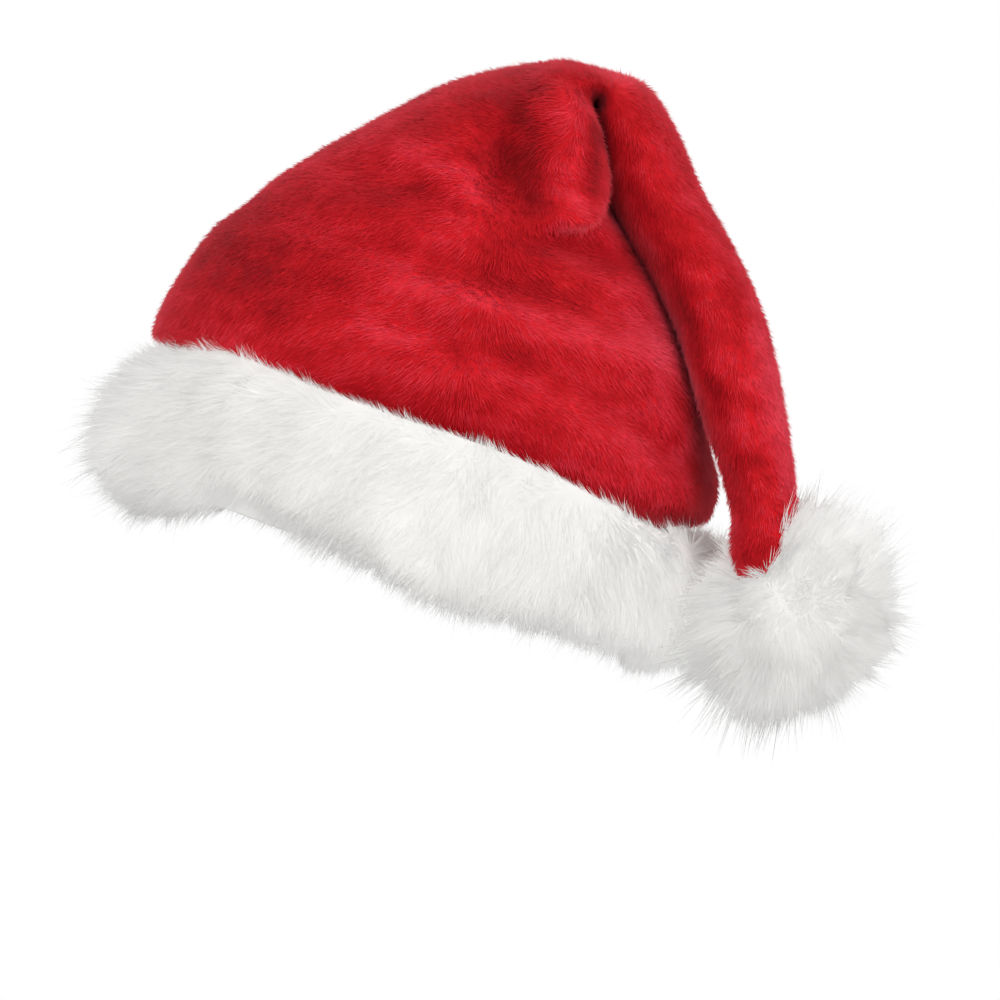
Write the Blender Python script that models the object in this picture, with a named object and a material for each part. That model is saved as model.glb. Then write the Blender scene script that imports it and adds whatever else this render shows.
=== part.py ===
"""A plush Christmas cap: a long soft cone that folds over near its peak, a deep fur brim and a fur ball.

The cap is modelled upright in its own frame, with the brim level and the middle of the head opening at the
origin. +X is the side that the tail falls to, -Y is the front and +Z is up. An empty then leans the whole
cap to the side, as it is worn. Units are metres.
"""

import math
import random

import bmesh
import bpy
from mathutils import Matrix, Vector

MM = 0.001

# Head opening, and the plush that goes round it
HEAD_WIDTH = 180 * MM
HEAD_LENGTH = 192 * MM
CLOTH = 3 * MM
SEAT_GAP = 0.4 * MM

# Fur brim: how tall it is, and how far its fur stands out from the cloth
BRIM_HEIGHT = 67 * MM
BRIM_FUR = 33 * MM
HEM_UP = 0.18

# Crown, from the top of the brim to the fold
CROWN_HALF_WIDTH = 123 * MM
CROWN_HALF_DEPTH = 120 * MM
CROWN_RISE = 154 * MM

# Tail, from the fold to the ball
TAIL_WIDTH = 32 * MM
TAIL_HALF_DEPTH = 46 * MM
TAIL_FORWARD = 62 * MM

# Fur ball: its stuffed core, how far its fur reaches, and where it hangs against the brim
BALL_CORE = 29 * MM
BALL_REACH = 42 * MM
BALL_AROUND = math.radians(22)
BALL_HEIGHT = 42.5 * MM
BALL_CLEAR = 2 * MM

# How far the cap leans to the tail's side when it is worn
WORN_LEAN = math.radians(20)

# How finely the cloth is divided round a section and along the cone
SIDES = 34
ROW_STEP = 15 * MM

# The crown's sections from the brim's top to the fold, where each is a slanted oval across the cone.
# outer and inner are its two ends in the plane Y = 0, as (x, z): x in shares of CROWN_HALF_WIDTH and z in
# shares of CROWN_RISE above the brim. depth is its half size along Y, in shares of CROWN_HALF_DEPTH.
CROWN_SECTIONS = (
    # outer x, outer z, inner x, inner z, depth
    (-0.923, -0.048, 0.849, -0.025, 0.85),
    (-1.006, -0.034, 0.892, 0.005, 0.88),
    (-1.015, 0.002, 0.903, 0.044, 0.91),
    (-1.011, 0.070, 0.890, 0.103, 0.94),
    (-0.993, 0.175, 0.826, 0.184, 0.94),
    (-0.965, 0.294, 0.757, 0.285, 0.91),
    (-0.900, 0.373, 0.662, 0.385, 0.85),
    (-0.774, 0.498, 0.528, 0.512, 0.76),
    (-0.642, 0.625, 0.387, 0.609, 0.67),
    (-0.494, 0.757, 0.245, 0.703, 0.59),
    (-0.381, 0.850, 0.175, 0.775, 0.53),
    (-0.229, 0.936, 0.122, 0.847, 0.48),
    (-0.067, 0.997, 0.087, 0.903, 0.44),
)

# The tail's sections down the crown's side. inner is the end that lies against the crown, in the same
# shares. lean is the way from there to the outer end, in degrees above +X. width and depth are shares of
# TAIL_WIDTH and TAIL_HALF_DEPTH, and forward of TAIL_FORWARD.
TAIL_SECTIONS = (
    # inner x, inner z, lean, width, depth, forward
    (0.102, 0.918, 87, 0.50, 0.96, 0.05),
    (0.141, 0.862, 55, 0.75, 0.90, 0.11),
    (0.190, 0.788, 38, 1.03, 0.85, 0.19),
    (0.281, 0.688, 28, 1.15, 0.79, 0.27),
    (0.408, 0.588, 27, 1.19, 0.74, 0.35),
    (0.550, 0.488, 26, 1.13, 0.69, 0.43),
    (0.674, 0.376, 25, 1.05, 0.64, 0.52),
    (0.771, 0.260, 22, 1.01, 0.59, 0.62),
    (0.860, 0.150, 18, 0.96, 0.54, 0.74),
    (0.945, 0.040, 15, 0.88, 0.48, 0.88),
)

# The free end of the tail, between the last section above and the ball: along is the share of that way.
TAIL_END_SECTIONS = (
    # along, width, depth
    (0.45, 0.86, 0.42),
    (0.80, 0.72, 0.34),
    (1.00, 0.56, 0.24),
)
# The way from the middle of the ball to where the tail comes in
TAIL_ENTRY = Vector((-0.75, -0.22, 0.62))

# Folds and dents in the crown, seen from the front: the middle of each as (x, z) in the crown's shares, its
# half length and half width in shares of CROWN_RISE, its slope in degrees and its height in shares of CLOTH.
# side is -1 at the front and 1 at the back.
CROWN_FOLDS = (
    # side, x, z, half length, half width, slope, height
    (-1, 0.085, 0.740, 0.190, 0.066, -70, 5.6),
    (-1, -0.085, 0.700, 0.220, 0.085, -66, -5.6),
    (-1, 0.200, 0.530, 0.150, 0.050, 12, -3.0),
    (-1, -0.130, 0.570, 0.300, 0.060, -16, 2.2),
    (-1, -0.420, 0.560, 0.240, 0.060, 6, -1.8),
    (-1, 0.060, 0.410, 0.420, 0.055, 4, -2.2),
    (-1, 0.200, 0.335, 0.420, 0.060, 4, 1.8),
    (-1, -0.050, 0.240, 0.450, 0.055, -2, -1.6),
    (-1, 0.760, 0.130, 0.160, 0.050, -16, -2.4),
    (-1, 0.000, 0.120, 0.700, 0.070, 0, 1.4),
    (1, 0.100, 0.720, 0.200, 0.070, -72, 4.2),
    (1, -0.080, 0.690, 0.200, 0.085, -66, -3.8),
    (1, -0.050, 0.480, 0.450, 0.070, -8, -1.8),
    (1, 0.050, 0.300, 0.500, 0.075, 6, 1.5),
    (1, 0.400, 0.200, 0.300, 0.060, -10, -1.8),
)

# The brim's fur mass in section: out from the cloth in shares of BRIM_FUR, and up in shares of BRIM_HEIGHT.
BRIM_PROFILE = (
    # out, up
    (0.00, 0.110),
    (0.22, 0.065),
    (0.50, 0.080),
    (0.74, 0.180),
    (0.85, 0.340),
    (0.87, 0.540),
    (0.84, 0.740),
    (0.74, 0.900),
    (0.58, 0.970),
    (0.42, 0.930),
    (0.24, 0.850),
    (0.00, 0.800),
)

# Waves of the brim's edges: edge is -1 for the lower and 1 for the upper one, around is where each is round
# the opening and spread how far it runs, in degrees from the tail's side by the back, and lift is how far it
# lifts that edge, in shares of BRIM_HEIGHT.
RIM_WAVES = (
    # edge, around, spread, lift
    (-1, 239, 16, 0.16),
    (-1, 121, 17, 0.16),
    (-1, 203, 16, -0.13),
    (-1, 155, 16, -0.10),
    (-1, 279, 6, -0.05),
    (-1, 325, 26, 0.10),
    (-1, 35, 26, 0.10),
    (1, 180, 50, -0.16),
    (1, 0, 45, -0.12),
)

# Rows of fur locks round the brim: where they root in the profile above, how many, their length in shares of
# BRIM_FUR, and how far they fall (below 0) or rise, in shares of that length.
BRIM_LOCK_ROWS = (
    # out, up, count, length, rise
    (0.34, 0.150, 19, 0.52, -0.90),
    (0.56, 0.240, 20, 0.74, -0.70),
    (0.58, 0.440, 20, 0.78, -0.50),
    (0.56, 0.640, 20, 0.76, -0.25),
    (0.50, 0.790, 19, 0.66, 0.20),
)
BRIM_LOCK_WIDTH = 26 * MM

BALL_LOCKS = 48
BALL_LOCK_WIDTH = 15 * MM
LOCK_SIDES = 4
# A lock's rings: how far along it is, how wide, and how far it has bent, all in shares
LOCK_RINGS = ((0.0, 0.90, 0.0), (0.50, 0.92, 0.22), (0.82, 0.50, 0.66))

# The colour that each piece shows, as linear red, green and blue, and how rough it is
PLUSH_RED = ((0.50, 0.011, 0.020), 0.85)
FUR_WHITE = ((0.86, 0.85, 0.83), 0.90)


def lerp(start, end, share):
    """The value or vector that share of the way from start to end."""
    return start + (end - start) * share


def band_sections():
    """The stretch of the cone inside the brim, straight up from the hem, as (outer, inner, depth)."""
    half_width = HEAD_WIDTH / 2 + CLOTH
    half_length = HEAD_LENGTH / 2 + CLOTH
    rows = []
    for up, spread in ((HEM_UP, 0.0), (0.50, 0.0), (0.80, 0.0), (0.86, 0.5 * CLOTH)):
        outer = Vector((-half_width - spread, 0, up * BRIM_HEIGHT))
        inner = Vector((half_width + spread, 0, up * BRIM_HEIGHT))
        rows.append((outer, inner, Vector((0, half_length + spread, 0))))
    return rows


def crown_point(x_share, z_share):
    """A point of the plane Y = 0 from shares of the crown's half width and of its rise above the brim."""
    return Vector((x_share * CROWN_HALF_WIDTH, 0, BRIM_HEIGHT + z_share * CROWN_RISE))


def crown_sections():
    """The cone from the brim's top to the fold."""
    return [
        (
            crown_point(outer_x, outer_z),
            crown_point(inner_x, inner_z),
            Vector((0, depth * CROWN_HALF_DEPTH, 0)),
        )
        for outer_x, outer_z, inner_x, inner_z, depth in CROWN_SECTIONS
    ]


def ball_centre():
    """The middle of the fur ball, which hangs clear of the brim's fur, at the front of the tail's side."""
    across = max(HEAD_WIDTH / 2 + CLOTH + BRIM_FUR, CROWN_HALF_WIDTH)
    along = max(HEAD_LENGTH / 2 + CLOTH + BRIM_FUR, CROWN_HALF_DEPTH)
    touch = Vector((across * math.cos(BALL_AROUND), -along * math.sin(BALL_AROUND), BALL_HEIGHT))
    out = Vector((math.cos(BALL_AROUND) / across, -math.sin(BALL_AROUND) / along, 0)).normalized()
    return touch + out * (BALL_REACH + BALL_CLEAR)


def tail_sections():
    """The tail, from the fold down the crown's side and then free to the core of the ball."""
    rows = []
    for inner_x, inner_z, lean, width, depth, forward in TAIL_SECTIONS:
        way = Vector((math.cos(math.radians(lean)), 0, math.sin(math.radians(lean))))
        inner = crown_point(inner_x, inner_z) - Vector((0, forward * TAIL_FORWARD, 0))
        rows.append((inner, inner + way * width * TAIL_WIDTH, Vector((0, depth * TAIL_HALF_DEPTH, 0))))
    last_inner, last_outer, last_depth = rows[-1]
    start = (last_inner + last_outer) / 2
    across = (last_outer - last_inner).normalized()
    into_ball = -TAIL_ENTRY.normalized()
    end = ball_centre() - into_ball * (BALL_CORE + SEAT_GAP)
    square_across = (across - into_ball * across.dot(into_ball)).normalized()
    square_depth = square_across.cross(into_ball)
    for along, width, depth in TAIL_END_SECTIONS:
        middle = lerp(start, end, along)
        half = lerp(across, square_across, along).normalized() * width * TAIL_WIDTH / 2
        turned = lerp(last_depth.normalized(), square_depth, along).normalized()
        rows.append((middle - half, middle + half, turned * depth * TAIL_HALF_DEPTH))
    # An inner end was first above, and an outer end is first in the crown's rows.
    return [(outer, inner, depth) for inner, outer, depth in rows]


def smoothed(rows):
    """The rows with more between them on smooth curves, so that none are much over ROW_STEP apart."""
    made = []
    for place in range(len(rows) - 1):
        before = rows[max(place - 1, 0)]
        start, end = rows[place], rows[place + 1]
        after = rows[min(place + 2, len(rows) - 1)]
        gap = max((end[0] - start[0]).length, (end[1] - start[1]).length)
        steps = max(1, round(gap / ROW_STEP))
        for step in range(steps):
            share = step / steps
            row = []
            for was, first, last, then in zip(before, start, end, after):
                curve = (last - was) * share
                curve += (was * 2 - first * 5 + last * 4 - then) * share**2
                curve += (first * 3 - was - last * 3 + then) * share**3
                row.append(first + curve / 2)
            made.append(tuple(row))
    made.append(rows[-1])
    return made


def fold_height(point, side):
    """How far the folds push the crown's cloth out at a point of its front (-1) or back (1)."""
    height = 0.0
    for fold_side, x_share, z_share, length, width, slope, rise in CROWN_FOLDS:
        if fold_side != side:
            continue
        middle = crown_point(x_share, z_share)
        slope = math.radians(slope)
        right = point.x - middle.x
        up = point.z - middle.z
        along = (right * math.cos(slope) + up * math.sin(slope)) / (length * CROWN_RISE)
        across = (up * math.cos(slope) - right * math.sin(slope)) / (width * CROWN_RISE)
        height += rise * CLOTH * math.exp(-along * along - across * across)
    return height


def section_ring(outer, inner, depth, folded):
    """The points round one oval section, from its inner end by the back. folded adds the crown's folds."""
    middle = (outer + inner) / 2
    reach = (inner - outer) / 2
    ring = []
    for side in range(SIDES):
        turn = 2 * math.pi * side / SIDES
        point = middle + reach * math.cos(turn) + depth * math.sin(turn)
        if folded and abs(math.sin(turn)) > 1e-6:
            facing = math.copysign(1, math.sin(turn))
            out = reach.normalized() * math.cos(turn) * depth.length
            out = out + depth.normalized() * math.sin(turn) * reach.length
            fade = min(1.0, 1.6 * abs(math.sin(turn)))
            point = point + out.normalized() * fold_height(point, facing) * fade
        ring.append(point)
    return ring


def loft(name, rings, closed_end):
    """A mesh object through rings of points, open at its first ring."""
    shape = bmesh.new()
    rows = [[shape.verts.new(point) for point in ring] for ring in rings]
    for low, high in zip(rows, rows[1:]):
        for side in range(len(low)):
            after = (side + 1) % len(low)
            shape.faces.new((low[side], low[after], high[after], high[side]))
    if closed_end:
        shape.faces.new(rows[-1])
    bmesh.ops.recalc_face_normals(shape, faces=shape.faces)
    mesh = bpy.data.meshes.new(name)
    shape.to_mesh(mesh)
    shape.free()
    piece = bpy.data.objects.new(name, mesh)
    bpy.context.scene.collection.objects.link(piece)
    return piece


def make_crown():
    """The cone of plush, from its hem inside the brim to the tail's end, one sheet with an even wall."""
    cone = crown_sections() + tail_sections()
    rings = [section_ring(*row, folded=False) for row in band_sections()]
    rings += [section_ring(*row, folded=True) for row in smoothed(cone)]
    crown = loft("crown", rings, closed_end=True)
    wall = crown.modifiers.new("cloth thickness", "SOLIDIFY")
    wall.thickness = CLOTH
    wall.offset = -1
    wall.use_even_offset = True
    wall.thickness_clamp = 0
    return crown


def rim_lift(turn, edge):
    """How far the brim's lower (-1) or upper (1) edge is lifted at a turn round the opening."""
    lift = 0.0
    for wave_edge, around, spread, rise in RIM_WAVES:
        if wave_edge == edge:
            away = (math.degrees(turn) - around + 180) % 360 - 180
            lift += rise * BRIM_HEIGHT * math.exp(-((away / spread) ** 2))
    return lift


def brim_point(turn, out, up):
    """A point of the brim: out from the cloth in shares of its fur, up in shares of its height."""
    stand_off = CLOTH + SEAT_GAP + out * BRIM_FUR
    lift = rim_lift(turn, -1) * max(0.0, 1 - 2 * up) * min(1.0, 3 * out)
    lift += rim_lift(turn, 1) * max(0.0, 2 * up - 1)
    return Vector(
        (
            (HEAD_WIDTH / 2 + stand_off) * math.cos(turn),
            (HEAD_LENGTH / 2 + stand_off) * math.sin(turn),
            up * BRIM_HEIGHT + lift,
        )
    )


def add_lock(shape, root, way, bend, length, width):
    """Adds one closed, pointed lock of fur that starts along way and bends over by the vector bend."""
    side_way = way.cross(Vector((0, 0, 1)))
    if side_way.length < 1e-3:
        side_way = Vector((1, 0, 0))
    side_way.normalize()
    flat_way = way.cross(side_way).normalized()
    rings = []
    for along, wide, bent in LOCK_RINGS:
        middle = root + way * length * along + bend * bent
        ring = []
        for side in range(LOCK_SIDES):
            turn = 2 * math.pi * side / LOCK_SIDES
            spoke = side_way * math.cos(turn) + flat_way * math.sin(turn) * 0.7
            ring.append(shape.verts.new(middle + spoke * width / 2 * wide))
        rings.append(ring)
    tip = shape.verts.new(root + way * length + bend)
    shape.faces.new(list(reversed(rings[0])))
    for low, high in zip(rings, rings[1:]):
        for side in range(LOCK_SIDES):
            after = (side + 1) % LOCK_SIDES
            shape.faces.new((low[side], low[after], high[after], high[side]))
    for side in range(LOCK_SIDES):
        shape.faces.new((rings[-1][side], rings[-1][(side + 1) % LOCK_SIDES], tip))


def fuse_locks(head, shape):
    """Unites the locks in shape with the object that carries them."""
    bmesh.ops.recalc_face_normals(shape, faces=shape.faces)
    mesh = bpy.data.meshes.new(head.name + "_locks")
    shape.to_mesh(mesh)
    shape.free()
    locks = bpy.data.objects.new(head.name + "_locks", mesh)
    bpy.context.scene.collection.objects.link(locks)
    locks.hide_render = True
    locks.display_type = "WIRE"
    fused = head.modifiers.new("fused locks", "BOOLEAN")
    fused.operation = "UNION"
    fused.object = locks
    fused.use_self = True
    return locks


def make_brim():
    """The fur brim round the cloth: a closed ring of fur mass with rows of locks fused to it."""
    rings = []
    for side in range(SIDES):
        turn = 2 * math.pi * side / SIDES
        rings.append([brim_point(turn, out, up) for out, up in BRIM_PROFILE])
    rings.append(rings[0])
    shape = bmesh.new()
    rows = [[shape.verts.new(point) for point in ring] for ring in rings[:-1]]
    for side in range(SIDES):
        here, there = rows[side], rows[(side + 1) % SIDES]
        for step in range(len(here)):
            after = (step + 1) % len(here)
            shape.faces.new((here[step], there[step], there[after], here[after]))
    bmesh.ops.recalc_face_normals(shape, faces=shape.faces)
    mesh = bpy.data.meshes.new("brim")
    shape.to_mesh(mesh)
    shape.free()
    brim = bpy.data.objects.new("brim", mesh)
    bpy.context.scene.collection.objects.link(brim)

    chance = random.Random(7)
    shape = bmesh.new()
    for row, (out, up, count, length, rise) in enumerate(BRIM_LOCK_ROWS):
        for place in range(count):
            turn = 2 * math.pi * (place + 0.5 * (row % 2) + chance.uniform(-0.2, 0.2)) / count
            root = brim_point(turn, out, up + chance.uniform(-0.03, 0.03))
            away = Vector((math.cos(turn), math.sin(turn), 0))
            along = Vector((-math.sin(turn), math.cos(turn), 0))
            long = length * BRIM_FUR * chance.uniform(0.85, 1.1)
            way = (away + Vector((0, 0, 0.5 * rise))).normalized()
            bend = (Vector((0, 0, rise)) + along * chance.uniform(-0.5, 0.5)) * long * 0.5
            wide = BRIM_LOCK_WIDTH * chance.uniform(0.9, 1.15)
            # The ball lies against the brim, so no lock reaches it.
            middle = root + way * long * 0.6 + bend * 0.4
            if (middle - ball_centre()).length > BALL_REACH + 0.6 * wide:
                add_lock(shape, root, way, bend, long, wide)
    return brim, fuse_locks(brim, shape)


def make_ball():
    """The fur ball on the tail's end: a round core with locks all over it but where the tail comes in."""
    centre = ball_centre()
    last = tail_sections()[-1]
    tail_way = ((last[0] + last[1]) / 2 - centre).normalized()
    shape = bmesh.new()
    bmesh.ops.create_icosphere(shape, subdivisions=3, radius=BALL_CORE, matrix=Matrix.Translation(centre))
    mesh = bpy.data.meshes.new("pompom")
    shape.to_mesh(mesh)
    shape.free()
    ball = bpy.data.objects.new("pompom", mesh)
    bpy.context.scene.collection.objects.link(ball)

    chance = random.Random(11)
    shape = bmesh.new()
    for place in range(BALL_LOCKS):
        # A spiral with the golden angle spreads the locks evenly over the core.
        height = 1 - 2 * (place + 0.5) / BALL_LOCKS
        turn = place * math.pi * (3 - math.sqrt(5))
        round_it = math.sqrt(1 - height * height)
        way = Vector((round_it * math.cos(turn), round_it * math.sin(turn), height))
        if way.angle(tail_way) < math.radians(50):
            continue
        root = centre + way * BALL_CORE * 0.80
        long = BALL_REACH * chance.uniform(0.92, 1.0) - BALL_CORE * 0.80
        sideways = way.cross(Vector((chance.uniform(-1, 1), chance.uniform(-1, 1), chance.uniform(-1, 1))))
        wide = BALL_LOCK_WIDTH * chance.uniform(0.95, 1.15)
        add_lock(shape, root, way, sideways * long * 0.18, long * 0.98, wide)
    return ball, fuse_locks(ball, shape)


def material(name, look):
    """A plain shader with a colour and a roughness."""
    (red, green, blue), rough = look
    made = bpy.data.materials.new(name)
    made.use_nodes = True
    shader = made.node_tree.nodes["Principled BSDF"]
    shader.inputs["Base Color"].default_value = (red, green, blue, 1)
    shader.inputs["Roughness"].default_value = rough
    shader.inputs["Metallic"].default_value = 0
    made.diffuse_color = (red, green, blue, 1)
    return made


def main():
    """Clears the scene, makes the three pieces and leans them as the cap is worn."""
    for old in list(bpy.data.objects):
        bpy.data.objects.remove(old)
    worn = bpy.data.objects.new("worn_lean", None)
    worn.rotation_euler = (0, WORN_LEAN, 0)
    bpy.context.scene.collection.objects.link(worn)

    crown = make_crown()
    brim, brim_locks = make_brim()
    ball, ball_locks = make_ball()
    for piece in (crown, brim, brim_locks, ball, ball_locks):
        piece.parent = worn
    crown.data.materials.append(material("red plush", PLUSH_RED))
    crown.data.shade_smooth()
    for piece in (brim, ball):
        piece.data.materials.append(material("white fur", FUR_WHITE))
        piece.data.shade_smooth()


main()
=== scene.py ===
"""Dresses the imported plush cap: its red nap, its white fur, the light, the floor and the camera.

Every shape is worked out in the cap's own upright frame, with the brim level, and then leaned as it is worn.
"""

import logging
import math
import random
from dataclasses import dataclass
from enum import Enum

import bmesh
import bpy
import numpy as np
from mathutils import Matrix, Vector, kdtree, noise


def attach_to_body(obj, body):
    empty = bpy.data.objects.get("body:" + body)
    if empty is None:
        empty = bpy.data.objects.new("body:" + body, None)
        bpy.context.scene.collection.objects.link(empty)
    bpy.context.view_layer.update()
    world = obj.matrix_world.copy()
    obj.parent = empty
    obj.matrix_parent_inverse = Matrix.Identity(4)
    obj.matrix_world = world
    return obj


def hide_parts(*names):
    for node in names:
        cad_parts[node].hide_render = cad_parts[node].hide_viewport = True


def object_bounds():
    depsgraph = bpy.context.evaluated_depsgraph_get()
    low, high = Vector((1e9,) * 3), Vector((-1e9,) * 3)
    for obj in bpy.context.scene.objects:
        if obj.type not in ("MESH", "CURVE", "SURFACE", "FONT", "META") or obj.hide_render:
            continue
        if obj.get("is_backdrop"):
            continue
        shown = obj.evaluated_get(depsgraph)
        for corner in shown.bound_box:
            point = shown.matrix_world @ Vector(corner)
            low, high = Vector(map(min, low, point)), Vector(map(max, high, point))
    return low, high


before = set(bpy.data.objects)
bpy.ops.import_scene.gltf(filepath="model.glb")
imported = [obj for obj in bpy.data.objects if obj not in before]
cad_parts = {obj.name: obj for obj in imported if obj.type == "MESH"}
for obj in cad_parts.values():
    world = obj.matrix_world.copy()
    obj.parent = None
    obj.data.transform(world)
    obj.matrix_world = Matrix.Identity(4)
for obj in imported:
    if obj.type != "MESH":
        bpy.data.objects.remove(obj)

LOG = logging.getLogger("cap")
MM = 0.001
WORN_LEAN = Matrix.Rotation(math.radians(20), 3, "Y")
# Without a seed of its own, the noise of the furs' combs starts anew in each run
NOISE_SEED = 5

# The kinds of node that work out a number and a vector, and that read a surface's own attribute
NUMBERS = "ShaderNodeMath"
VECTORS = "ShaderNodeVectorMath"
STORED = "GeometryNodeInputNamedAttribute"

Row = tuple[Vector, Vector, Vector]
"""One oval section of the cloth cone: its outer end, its inner end and its half depth."""

Value = bpy.types.NodeSocket | float | int | str | tuple[float, ...]
"""What a node's input takes: another node's output, or a plain value."""


class Slot(Enum):
    """The record's material slots."""

    RED_PLUSH = "red_plush"
    WHITE_FUR = "white_fur"


def linear(colour: str) -> tuple[float, float, float, float]:
    """Turns an sRGB colour into the linear one that a shader reads.

    Args:
        colour: Six hexadecimal digits after a #.

    Returns:
        Linear red, green, blue and an alpha of 1.
    """
    parts = [int(colour[start : start + 2], 16) / 255 for start in (1, 3, 5)]
    red, green, blue = (p / 12.92 if p <= 0.04045 else ((p + 0.055) / 1.055) ** 2.4 for p in parts)
    return (red, green, blue, 1.0)


def add_node(
    tree: bpy.types.NodeTree,
    kind: str,
    settings: dict[str, str] | None = None,
    inputs: dict[str | int, Value] | None = None,
) -> bpy.types.Node:
    """Adds a node to a tree, with its settings and with its inputs set or linked.

    Args:
        tree: The shader or geometry tree.
        kind: The node's identifier in Blender.
        settings: Its properties by name.
        inputs: Its inputs by name or place: a value to set, or another node's output to link.

    Returns:
        The new node.
    """
    node = tree.nodes.new(kind)
    for name, value in (settings or {}).items():
        setattr(node, name, value)
    for key, value in (inputs or {}).items():
        if isinstance(value, bpy.types.NodeSocket):
            tree.links.new(value, node.inputs[key])
        else:
            node.inputs[key].default_value = value
    return node


@dataclass(frozen=True)
class PileFinish:
    """A pile of fibres: its colour, how it varies from tuft to tuft, and its sheen.

    Attributes:
        name: The material's name.
        deep: The colour between the tufts and in their shadow.
        usual: The colour of most fibres.
        bright: The colour of the fibres that stand out, and of the painted highlights.
        roughness: How rough the fibres are.
        sheen: How strongly the fibres' sides catch the light at a glance.
        sheen_tint: The colour of that sheen.
        mottle: The size of the small brighter and darker spots, in metres.
        tint_share: How much the colour varies from strand to strand.
    """

    name: str
    deep: str
    usual: str
    bright: str
    roughness: float
    sheen: float
    sheen_tint: str
    mottle: float
    tint_share: float

    def make(self) -> bpy.types.Material:
        """Makes the material.

        Returns:
            A material that reads object coordinates, the surface's own shade and the strands' tint.
        """
        made = bpy.data.materials.new(self.name)
        made.use_nodes = True
        tree = made.node_tree
        shader = tree.nodes["Principled BSDF"]
        place = add_node(tree, "ShaderNodeTexCoord").outputs["Object"]
        spots = {"Vector": place, "Scale": 1 / self.mottle, "Detail": 2.0, "Roughness": 0.5}
        mottle = add_node(tree, "ShaderNodeTexNoise", inputs=spots).outputs["Fac"]
        shade = add_node(tree, "ShaderNodeAttribute", {"attribute_name": "shade"}).outputs["Fac"]
        tint = add_node(tree, "ShaderNodeAttribute", {"attribute_name": "tint"}).outputs["Fac"]
        # the last row takes off what the tint and the spots add on the whole
        for varied, share in ((tint, self.tint_share), (mottle, 0.3), (1.0, -0.3)):
            added = {0: varied, 1: share, 2: shade}
            shade = add_node(tree, NUMBERS, {"operation": "MULTIPLY_ADD"}, added).outputs[0]
        ramp = add_node(tree, "ShaderNodeValToRGB", inputs={"Fac": shade})
        ramp.color_ramp.elements[0].position = 0.0
        ramp.color_ramp.elements[0].color = linear(self.deep)
        ramp.color_ramp.elements[1].position = 1.0
        ramp.color_ramp.elements[1].color = linear(self.bright)
        ramp.color_ramp.elements.new(0.5).color = linear(self.usual)
        tree.links.new(ramp.outputs["Color"], shader.inputs["Base Color"])
        shader.inputs["Roughness"].default_value = self.roughness
        shader.inputs["Diffuse Roughness"].default_value = 1.0
        shader.inputs["Specular IOR Level"].default_value = 0.15
        shader.inputs["Sheen Weight"].default_value = self.sheen
        shader.inputs["Sheen Roughness"].default_value = 0.4
        shader.inputs["Sheen Tint"].default_value = linear(self.sheen_tint)
        return made


# The short nap of the crown: a warm, saturated red, darker in the folds by shadow and painted shade, with
# painted highlights on the ridges and the tail's rim and a pink sheen at the rims
RED_PLUSH = PileFinish(
    "red polyester plush",
    deep="#8c020c",
    usual="#cb0f1c",
    bright="#ec3f52",
    roughness=0.8,
    sheen=0.45,
    sheen_tint="#ff8596",
    mottle=5 * MM,
    tint_share=0.35,
)
# The long pile of the brim and ball: a soft, slightly warm white with hardly any contrast
WHITE_FUR = PileFinish(
    "white faux fur",
    deep="#d7d6d4",
    usual="#e0dfdd",
    bright="#e9e8e6",
    roughness=0.9,
    sheen=0.1,
    sheen_tint="#ffffff",
    mottle=9 * MM,
    tint_share=0.6,
)


@dataclass(frozen=True)
class Coat:
    """The sizes of one coat of strands.

    Attributes:
        name: The piece's name.
        strands: How many on a square metre.
        length: The longest strand, in metres.
        spread: How much shorter the shortest one is, as a share.
        width: A strand's width at its root, in metres.
        stand: How far the strands stand up, against 1 along the comb.
        stray: How far each strand strays by itself, in the same measure.
        clump: The size of the small clumps that lean together, in metres.
        pull: How far such a clump leans, in the same measure as stand.
        softness: How far the strands are lit like the surface below them, from 0 to 1.
        seed: The seed of its chance.
        droop: How far a strand's tip bows over, as a share of its length.
        segments: How many lengths a strand is bent in.
    """

    name: str
    strands: float
    length: float
    spread: float
    width: float
    stand: float
    stray: float
    clump: float
    pull: float
    softness: float
    seed: int
    droop: float = 0.0
    segments: int = 1


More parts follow.
